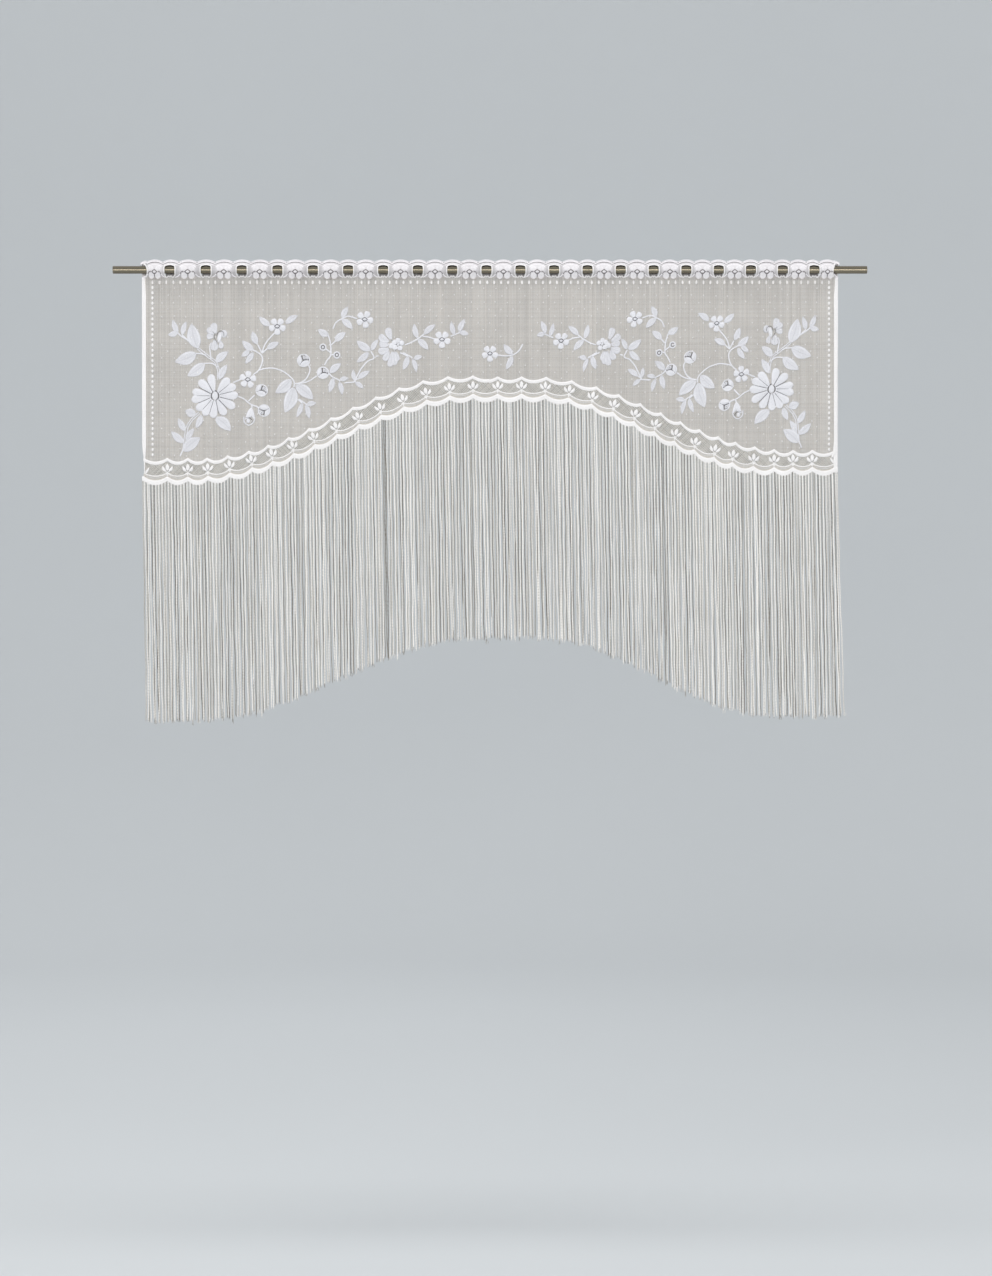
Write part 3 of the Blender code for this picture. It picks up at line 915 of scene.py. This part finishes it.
def bandsOfHeading():
    places = [heading["starts"], *eyelets, heading["stops"]]
    bands = []
    for number, (start, end) in enumerate(zip(places, places[1:])):
        first, last = number == 0, number == len(eyelets)
        centre, scallop, size = (start + end) / 2, (end - start) / 2, 1.0
        if first or last:
            centre, scallop, size = heading["endFlowers"][last], heading["endScallop"], heading["endSize"]
        bands.append({"start": start, "end": end, "first": first, "last": last,
                      "centre": centre, "scallop": scallop, "size": size})
    return bands


headingBands = bandsOfHeading()


def headingTone(x, z, band):
    # whitest in the frill, greyer beside the eyelets, and as open as the net under the flower's arms
    aside = abs(x - band["centre"])
    tone = np.where(z > 5.5, 0.76, 0.74 - 0.24 * np.clip((aside - 8) / 4, 0, 1))
    arms = -3.2 - (aside - 6.5) * 0.62
    return np.where(z < np.minimum(arms, -3.2) - 0.4, 0.52, tone)


def drawHeadingCloth(lace):
    z = np.array(heading["rows"])[:, None]
    share = np.linspace(0, 1, heading["columns"])
    bulge = 1.2 * np.maximum(1 - abs((z + 1) / 9), 0)
    ribs = 0.35 + 0.12 * np.sin(share * heading["columns"] * math.pi / 2)
    for band in headingBands:
        left = band["start"] + (bulge if band["first"] else halfHole(z))
        right = band["end"] - (bulge if band["last"] else halfHole(z))
        # over the rod the frill runs on to both side edges
        left = np.where(band["first"] & (z > 7), -heading["endsAt"], left)
        right = np.where(band["last"] & (z > 7), heading["endsAt"], right)
        x = left * (1 - share) + right * share
        inFrill = np.clip((z - heading["frillFoot"]) / (curtain["headingTop"] - heading["frillFoot"]), 0, 1)
        level = z + inFrill * (frillTop(x[0], band) - curtain["headingTop"])
        away = np.clip((abs(x[-1] - band["centre"]) - 8.5) / 6, 0, 1)
        level[-1] += 2.2 * away
        level[-2] += 0.8 * away
        addPlate(lace, x, level, ribs, 0.35, headingTone(x, level, band))


def addBehindRod(lace, x, above, below, front, back, tone):
    # makePiece bows the heading forward, so twice that takes a strip behind the rod
    z = np.array([*above, *heading["behindRod"], *below])[:, None]
    behind = 2 * roundRod(z)
    addPlate(lace, x, z, front - behind, behind + back, tone)


def drawBars(lace):
    # painted shade: the bars take tone 0.5, greyer than the bands, for the shade they lie in behind the rod
    for centre in eyelets:
        addBehindRod(lace, centre + np.linspace(-1, 1, 7) * heading["bar"], [7.6], [-8.8], 0.3, 0.3, 0.5)
    for side in (-1, 1):
        x = side * (curtain["edge"] - hems["places"] * curtain["hemWidth"])
        addBehindRod(lace, x, [9.8, 9.0, 8], [-9, -10.5, -12.5], 0.6, 0.4, 0.97)


def drawRims(lace):
    z = np.linspace(heading["holeTop"] - 0.05, heading["holeBottom"] + 0.6, 16)
    side = halfHole(z)
    rim = np.vstack([heading["rimTop"], pairs(side, z), heading["rimFoot"], pairs(-side, z)[::-1]])
    for centre in eyelets:
        addThread(lace, rim + (centre, 0), closed=True, **heading["rim"])
    for line in heading["endRims"]:
        addThread(lace, walk(line), **heading["rim"])


def drawFrill(lace):
    # every scallop has a white arc over a painted shade line, and at each cusp a picot hole drawn as a
    # painted shade ring with two short painted shade strokes
    for band in headingBands:
        start = -heading["endsAt"] if band["first"] else band["start"]
        end = heading["endsAt"] if band["last"] else band["end"]
        x = np.linspace(start, end, 57)
        top = frillTop(x, band)
        addThread(lace, pairs(x, top - 0.3), 0.8, 0.9, lift=0.4)
        addThread(lace, pairs(x, top - 1.9), 1.9, 0.7, 0.95, lift=0.45)
        addPaintedShadeLine(lace, pairs(x, top - 3.3), 0.7)
        for number in range(-1, 2):
            cusp = band["centre"] + (number + 0.5) * band["scallop"]
            if band["start"] + 3 < cusp < band["end"] - 3:
                z = frillTop(cusp, band)
                addPaintedShadeLine(lace, ellipse((cusp, z - 0.9), 0.9, 0.8, 8), 0.7, True)
                for way in (-1, 1):
                    addPaintedShadeLine(lace, [(cusp + way * 1.9, z - 0.7), (cusp + way * 3.1, z + 0.2)], 0.7)


def drawHeadingFlowers(lace):
    for band in headingBands:
        x, size = band["centre"], band["size"]
        for way in (-1, 1):
            def at(u, v):
                return x + way * u * size, v

            addOval(lace, at(4.7, -7.8), 4.1 * size, 4.1, rows=9, lift=0.5)
            addOval(lace, at(5.0, 1.0), 4.6 * size, 3.3, softly, rows=9, lift=0.4)
            addPaintedShadeLine(lace, curve([at(5.6, -2.2), at(8.0, -3.4), at(9.8, -6.0)], 3), 0.9, lift=1.0)
            arm = curve([at(7.2, -3.6), at(10.6, -6.4), at(13.6, -8.9), at(16.4, -9.6)], 3)
            addThread(lace, arm, 1.3, 0.8, lift=0.45)
        addPaintedShadeLine(lace, heading["diamond"] * (size, 1) + (x, -3.0), 1.2, True, lift=1.15)
        addPaintedShadeLine(lace, [(x, -6.4), (x, -8.8)], 0.8, lift=0.95)
        addOval(lace, (x, -3.0), 2.3 * size, 1.4, lift=0.95)
        angles = np.linspace(0.35, math.pi - 0.35, 13)
        arch = pairs(x + 11.0 * size * np.cos(angles), -0.6 + 7.4 * np.sin(angles) ** 0.8)
        addThread(lace, arch, 1.5, 0.7, 0.9, lift=0.45)


headingCloth, *onHeading = makePieces(
    "heading", ("heading_cloth", drawHeadingCloth, headingYarn), ("heading_bars", drawBars, headingYarn),
    ("eyelet_rims", drawRims, whiteYarn), ("heading_frill", drawFrill, headingYarn),
    ("heading_flowers", drawHeadingFlowers, headingYarn))


# the fringe: a scalloped foot, and chain-stitched strings drawn down from it
fringe = {
    "footRelief": (0.25, 0.75, 0.7, 0.72, 0.75, 0.3), "footTones": (0.92, 1.0, 0.9, 0.95, 1.0, 0.85),
    "perScallop": 14, "usual": 29, "fall": 303, "lean": 5, "outerLean": 3.6, "uneven": 2.8, "inFoot": 1.6,
    "locks": ((0.35, 13.7, 1.0), (0.3, 29.0, 2.0)), "sways": ((1.1, 17.0, 0.5), (1.5, 61.0, 1.7)),
    # white and shaded strings mostly take turns; the shaded ones are set further back and painted darker,
    # painted shade for the gaps between the white ones: how white, how wide, how far back, and the stitch
    "white": ((1.0, 1.5, -0.7, 3.6), (0.84, 1.45, -0.3, 3.6)),
    "shaded": ((0.42, 1.35, 0.2, 6.0), (0.24, 1.3, 0.8, 6.0)), "turnTaking": 0.94,
    "longShare": 0.06, "longBy": (2, 6), "ownWidth": (0.86, 1.14), "ownTone": 0.08,
    # how far a string wavers and how often: to the sides, to the front, and in its tone
    "wiggles": ((0.32, 2.3), (0.22, 6.1)), "swing": (0.4, 1.7), "toneWave": (0.08, 1.3),
    # strings gather in bunches: how far, how long across, how they shift on the way down, and where
    "bunches": ((0.5, 7.3, 4.0, 0.6), (0.16, 21.0, -5.0, 0.0)), "endBunch": 0.9, "endLength": 6.3,
    # a chain stitch is fat and flat, then thin and deep, by turns: across, through, and the tone added,
    # painted light on the fat stitch and painted shade on the thin deep one
    "fat": (0.56, 0.84, 0.05), "thin": (0.36, 1.16, -0.1),
    "loopShare": 0.12, "loopHalf": (1.6, 2.4), "fibre": ((0.2, 0.1), (0, -0.2), (-0.2, 0.1)),
}


def drawFoot(lace):
    addBand(lace, footTop, footEdge, fringe["footRelief"], fringe["footTones"], -curtain["edge"])


def stringPlaces():
    places = []
    starts = [-curtain["edge"], *cusps[1:-1], curtain["edge"]]
    for start, end in zip(starts, starts[1:]):
        count = round(fringe["perScallop"] * max(0.9, (end - start) / fringe["usual"]))
        places += [start + (number + 0.5) * (end - start) / count for number in range(count)]
    return places


def addStrand(lace, x, y, z, across, through, corners, tone):
    across, through = np.outer(across, (1, 0, 0)), np.outer(through, (0, 1, 0))
    addTube(lace, np.stack(np.broadcast_arrays(x, y, z), -1), across, through, corners, tone)


def waver(share, height, turns, phase):
    return height * np.sin(math.tau * turns * share + phase)


def addString(lace, x, kind):
    base, width, back, stitch = kind
    start = footEdge(x) + fringe["inFoot"]
    side = lowerEdge["left" if x < 0 else "right"]
    cut = fringe["uneven"] * chance.uniform(-1, 1)
    cut += (chance.random() < fringe["longShare"]) * chance.uniform(*fringe["longBy"])
    fall = start - archAt(x) + fringe["fall"] + side["longer"] * downArch(side, x) + cut
    count = 2 * int(fall / stitch)
    t = np.linspace(0, 1, count)
    phases = chance.uniform(0, math.tau, 4)
    wiggle = sum(waver(t, *each, phase) for each, phase in zip(fringe["wiggles"], phases))
    bunch = sum(height * np.sin(math.tau * x / length + shift * t + phase)
                for height, length, shift, phase in fringe["bunches"])
    bunch += fringe["endBunch"] * t ** 3 * np.sin(math.tau * x / fringe["endLength"] + 2 * np.sin(x / 37))
    lean = fringe["lean"] + fringe["outerLean"] * min(max((x - 425) / 22, 0), 1)
    px = x + t * (lean + ripple(fringe["locks"], x))
    px += wiggle * np.minimum(1, 8 * t) + bunch * np.minimum(1, 2.5 * t)
    py = drape(x, start) + t * ripple(fringe["sways"], x) + waver(t, *fringe["swing"], phases[2]) * t
    py += back * np.minimum(1, 6 * t)
    pz = start - t * fall
    fat = np.arange(count) % 2
    across, through, paintedLightAndShade = (np.where(fat, *each) for each in zip(fringe["fat"], fringe["thin"]))
    own = width * chance.uniform(*fringe["ownWidth"])
    tone = base + chance.uniform(-fringe["ownTone"], fringe["ownTone"])
    # the stitches' painted light and shade goes into each string's tone here
    tone = np.clip(tone + waver(t, *fringe["toneWave"], phases[3]) + paintedLightAndShade, 0, 1)
    addStrand(lace, px, py, pz, own * across, through, sections[4], tone)
    return px[-1], py[-1], pz[-1], base


def addEndLoop(lace, x, y, z, tone):
    # a thread pulled out of the last stitch
    angles = np.linspace(0, math.tau, 12)
    wide, high = fringe["loopHalf"]
    px = x + wide * np.sin(angles) * chance.choice([-1, 1]) + wide / 2
    addStrand(lace, px, y, z - 0.75 * high + high * np.cos(angles), 0.28, 0.56, sections[4], tone)


def addFrays(lace, x, y, z, tone):
    # the cut end opens into a few fibres
    for number in range(3):
        lean, reach = chance.uniform(-1.0, 1.0), chance.uniform(1.0, 3.4)
        px = x + np.array([0, 0.5, 1.0]) * lean + (number - 1) * 0.3
        py = y + np.array([0, 0.3, 0.8]) * chance.uniform(-1, 1)
        pz = z + np.array([0.6, -0.4 * reach, -reach])
        addStrand(lace, px, py, pz, 1, 1, fringe["fibre"], tone)


onFringe = makePieces("fringe", ("fringe_foot", drawFoot, whiteYarn))
white = True
for number, places in enumerate(np.array_split(np.array(stringPlaces()), 4)):
    lace = newLace()
    for place in places:
        white = white != (chance.random() < fringe["turnTaking"])
        end = addString(lace, place, fringe["white" if white else "shaded"][chance.integers(2)])
        if chance.random() < fringe["loopShare"]:
            addEndLoop(lace, *end)
        addFrays(lace, *end)
    onFringe.append(makePiece(f"fringe_strings_{number + 1}", lace, stringYarn, "fringe", hangs=False))


# the studio: a pale floor that runs up into a round wall, soft lights, and the camera, in metres
studio = {
    "floor": -1.32, "radius": 6.2, "bend": 2.2, "height": 4.6, "hole": 0.01, "rings": 8, "turns": 96,
    "colour": paint(206, 209, 211), "paler": 1.04, "rough": 0.9, "specular": 0.1,
}


def makeStudio():
    flat = studio["radius"] - studio["bend"]
    angles = np.linspace(0, math.pi / 2, 13)[1:]
    rise = studio["bend"] * (1 - np.cos(angles))
    floor = np.linspace(studio["hole"], flat, studio["rings"])
    reach = np.concatenate([floor, flat + studio["bend"] * np.sin(angles), [studio["radius"]]])
    level = np.concatenate([np.zeros(studio["rings"]), rise, [studio["height"]]]) + studio["floor"]
    turns = np.linspace(0, math.tau, studio["turns"] + 1)[:-1]
    x, y = np.outer(reach, np.cos(turns)), np.outer(reach, np.sin(turns))
    points = np.stack([x, y, np.broadcast_to(level[:, None], x.shape)], -1)
    index = np.arange(x.size).reshape(x.shape)
    inner, outer = index[:-1], index[1:]
    quads = np.stack([inner, outer, np.roll(outer, -1, 1), np.roll(inner, -1, 1)], -1).reshape(-1, 4)
    mesh = bpy.data.meshes.new("studio_floor")
    mesh.from_pydata(points.reshape(-1, 3).tolist(), [], [*quads.tolist(), index[0].tolist()])
    mesh.shade_smooth()
    material, tree, shader = newMaterial("studioPaint")
    paler = tuple(min(1, c * studio["paler"]) for c in studio["colour"])
    tint = mixColours(tree, addNoise(tree, objectPlace(tree), 0.7, 2.0), studio["colour"], paler)
    setSockets(tree, shader, {
        "Roughness": studio["rough"], "Specular IOR Level": studio["specular"], "Base Color": tint})
    mesh.materials.append(material)
    addObject("studio_floor", mesh)


def addLight(name, place, size, power, colour=(1, 1, 1), target=(0, 0, -0.3), mirrored=False):
    light = bpy.data.lights.new(name, "AREA")
    light.shape = "RECTANGLE"
    light.size, light.size_y = size
    light.energy = power
    light.color = colour
    way = mathutils.Vector(target) - mathutils.Vector(place)
    lamp = addObject(name, light, place, way.to_track_quat("-Z", "Y").to_euler())
    lamp.visible_camera = False
    lamp.visible_glossy = mirrored  # only one light shows as a line along the rod


makeStudio()
addLight("keyLight", (-2.4, -3.6, 1.9), (2.0, 2.0), 48, (1.0, 0.99, 0.975))
addLight("fillLight", (2.6, -3.8, 0.5), (2.4, 2.4), 19, (0.98, 0.99, 1.0))
addLight("rodLight", (0, -4.2, -0.1), (4.6, 0.6), 58, (1.0, 0.97, 0.93), (0, 0, 0), True)
addLight("wallLight", (0, -1.5, 3.2), (3.0, 1.0), 58, target=(0, 4, -0.6))
addLight("backLight", (-1.2, 3.9, 1.8), (1.6, 1.6), 16)

world = bpy.data.worlds.new("studioAir")
world.use_nodes = True
air = world.node_tree.nodes["Background"]
setSockets(world.node_tree, air, {"Color": (0.97, 0.985, 1.0, 1), "Strength": 0.8})
bpy.context.scene.world = world
bpy.context.scene.view_settings.view_transform = "Standard"

camera = {"distance": 4.0, "x": 0.0078, "z": -0.476, "height": 1.65, "sensor": 36, "farthest": 60}
lens = bpy.data.cameras.new("camera")
lens.sensor_width = camera["sensor"]
lens.lens = camera["sensor"] * camera["distance"] / camera["height"]
lens.clip_end = camera["farthest"]
place = (camera["x"], -camera["distance"], camera["z"])
bpy.context.scene.camera = addObject("camera", lens, place, (math.pi / 2, 0, 0))
print("studio, lights and camera")
